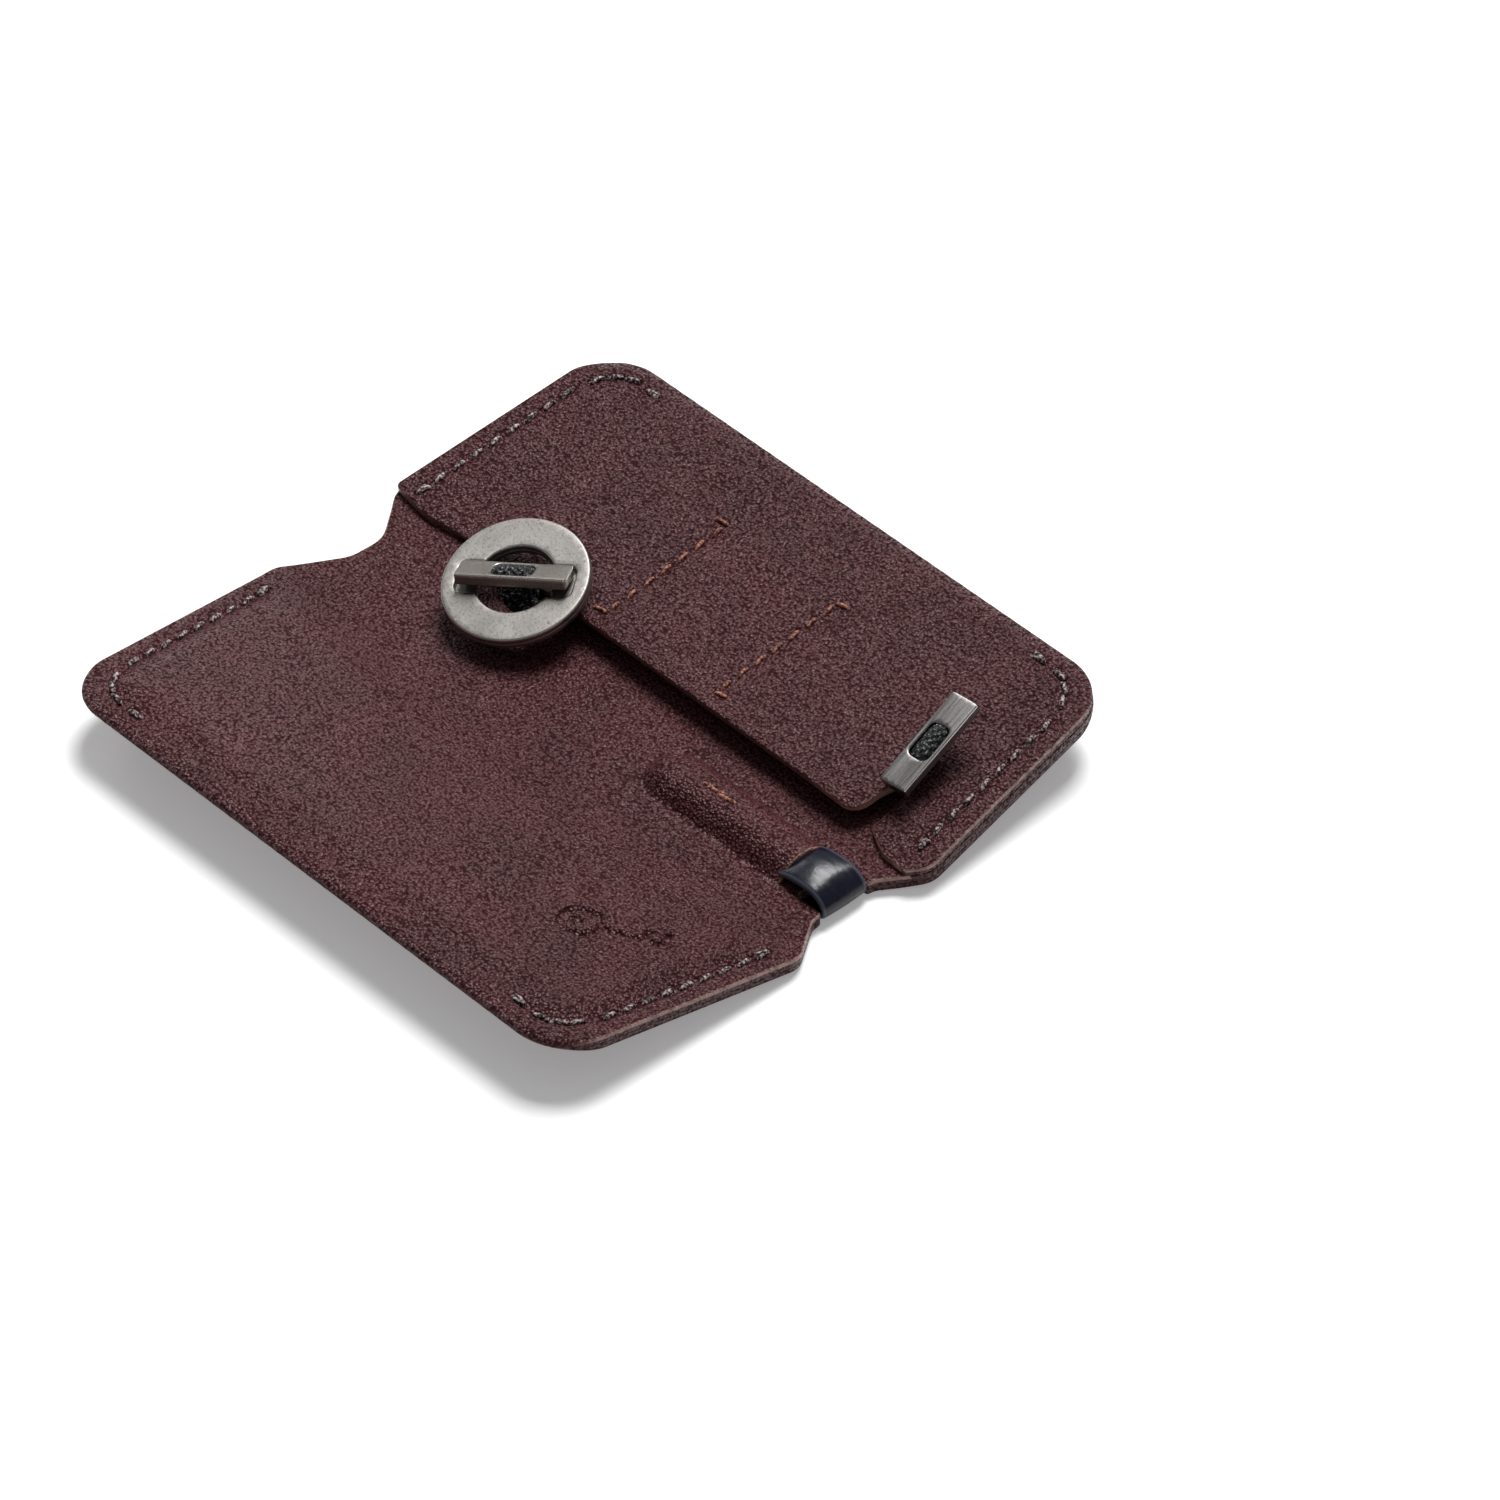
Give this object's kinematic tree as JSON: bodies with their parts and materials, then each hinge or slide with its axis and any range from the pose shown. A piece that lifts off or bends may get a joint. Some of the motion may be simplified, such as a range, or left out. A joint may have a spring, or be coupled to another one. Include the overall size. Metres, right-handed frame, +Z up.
{
  "type": "key organiser",
  "caption": "Folding leather key organiser lying open: plain panel, pocket panel with slit flap, toggle straps, slotted washer and a leather loop at the end of the spine.",
  "frame": {"origin": "under the middle of the spine, on the surface that the open cover lies on; the middle of the cover's box in plan", "axes": "+Y along the spine, away from the leather loop; +X from the plain panel to the pocket panel; +Z up, out of the inside of the cover"},
  "size_m": [0.0908, 0.0938, 0.0125],
  "materials": {
    "plum_leather": "fine pebbled grain, satin",
    "plum_lining": "fine pebbled grain, satin",
    "navy_leather": "smooth, glossy",
    "stiffener_board": "matt",
    "magnet_metal": "plated",
    "tumbled_nickel": "tumbled satin",
    "brushed_nickel": "brushed satin",
    "black_webbing": "woven",
    "dark_thread": "twisted thread",
    "red_brown_thread": "twisted thread"
  },
  "bodies": {
    "pocket_side": {"outer_right": "plum_leather", "lining_right": "plum_lining", "board_right": "stiffener_board", "magnets_right": "magnet_metal", "pocket_flap": "plum_leather", "stitches_right_top": "dark_thread", "stitches_right_bottom": "dark_thread", "seam_top": "red_brown_thread", "seam_bottom": "red_brown_thread", "loop_tab": "navy_leather", "loop_tack": "red_brown_thread", "strap_base_a": "black_webbing", "strap_base_b": "black_webbing", "fold_outer": "plum_leather", "fold_lining": "plum_lining"},
    "plain_side": {"outer_left": "plum_leather", "lining_left": "plum_lining", "board_left": "stiffener_board", "magnets_left": "magnet_metal", "stitches_left_top": "dark_thread", "stitches_left_bottom": "dark_thread"},
    "strap_a_end": {"strap_a": "black_webbing"},
    "washer": {"washer": "tumbled_nickel"},
    "toggle_a": {"toggle_bar_a": "brushed_nickel", "toggle_pin_a": "brushed_nickel", "strap_loop_a": "black_webbing"},
    "strap_b_end": {"strap_b": "black_webbing"},
    "toggle_b": {"toggle_bar_b": "brushed_nickel", "toggle_pin_b": "brushed_nickel", "strap_loop_b": "black_webbing"}
  },
  "joints": [
    {"name": "cover_fold", "type": "hinge", "parent": "pocket_side", "child": "plain_side", "pos_m": [0, 0, 0.0072], "axis": [0, -1, 0], "range_deg": [-170, 8], "deforming": ["fold_outer", "fold_lining"]},
    {"name": "strap_a_lift", "type": "slide", "parent": "pocket_side", "child": "strap_a_end", "axis": [-0.2756, 0, 0.9613], "range_m": [0, 0.004], "stiffness_N_per_m": 30, "deforming": ["strap_a"]},
    {"name": "washer_turn", "type": "hinge", "parent": "strap_a_end", "child": "washer", "pos_m": [0.0069, 0.0203, 0.0073], "axis": [-0.2756, 0, 0.9613], "range_deg": [-60, 60], "stiffness_Nm_per_rad": 0.0002},
    {"name": "toggle_a_lift", "type": "slide", "parent": "washer", "child": "toggle_a", "axis": [-0.2756, 0, 0.9613], "range_m": [0, 0.004], "stiffness_N_per_m": 30},
    {"name": "strap_b_lift", "type": "slide", "parent": "pocket_side", "child": "strap_b_end", "axis": [-0.3407, -0.0298, 0.9397], "range_m": [0, 0.004], "stiffness_N_per_m": 30, "deforming": ["strap_b"]},
    {"name": "toggle_b_turn", "type": "hinge", "parent": "strap_b_end", "child": "toggle_b", "pos_m": [0.0214, -0.0365, 0.0094], "axis": [-0.3407, -0.0298, 0.9397], "range_deg": [-60, 60], "stiffness_Nm_per_rad": 0.0001}
  ]
}
